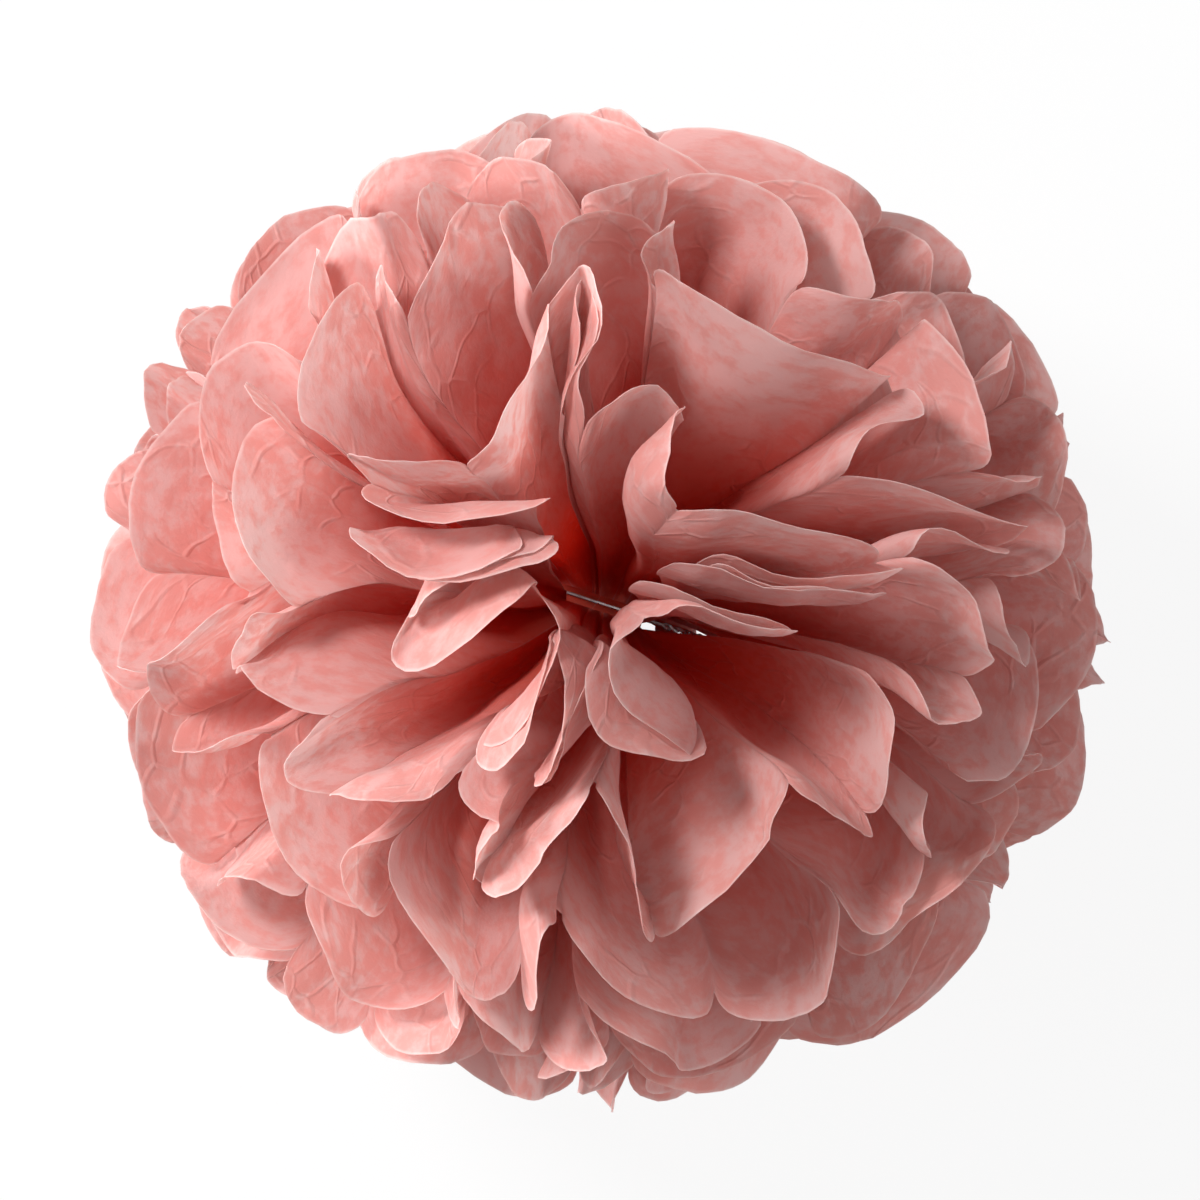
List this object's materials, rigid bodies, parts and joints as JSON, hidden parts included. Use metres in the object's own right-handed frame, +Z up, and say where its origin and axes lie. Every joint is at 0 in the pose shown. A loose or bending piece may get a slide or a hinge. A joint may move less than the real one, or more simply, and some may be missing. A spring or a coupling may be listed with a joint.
{
  "type": "tissue paper pom pom",
  "caption": "Fluffy paper ball of folded, tied and fanned tissue sheets with rounded petals, for party and room decoration.",
  "frame": {"origin": "on the table, under the middle of the ball's box", "axes": "+Z up along the axis that the petals open around; +X to the right as the picture shows the ball from above, with the slit between the two fans 18 degrees clockwise from it"},
  "size_m": [0.2488, 0.2466, 0.2373],
  "materials": {
    "tissue": "matt dusty rose tissue paper, slightly see-through",
    "wire": "plain binding wire"
  },
  "bodies": {
    "root": {"tissue_sheet_01": "tissue", "tissue_sheet_02": "tissue", "tissue_sheet_03": "tissue", "tissue_sheet_04": "tissue", "tissue_sheet_05": "tissue", "tissue_sheet_06": "tissue", "tissue_sheet_07": "tissue", "tissue_sheet_08": "tissue", "tissue_sheet_09": "tissue", "tissue_sheet_10": "tissue", "tissue_sheet_11": "tissue", "tissue_sheet_12": "tissue", "tie_wire": "wire"}
  },
  "joints": []
}
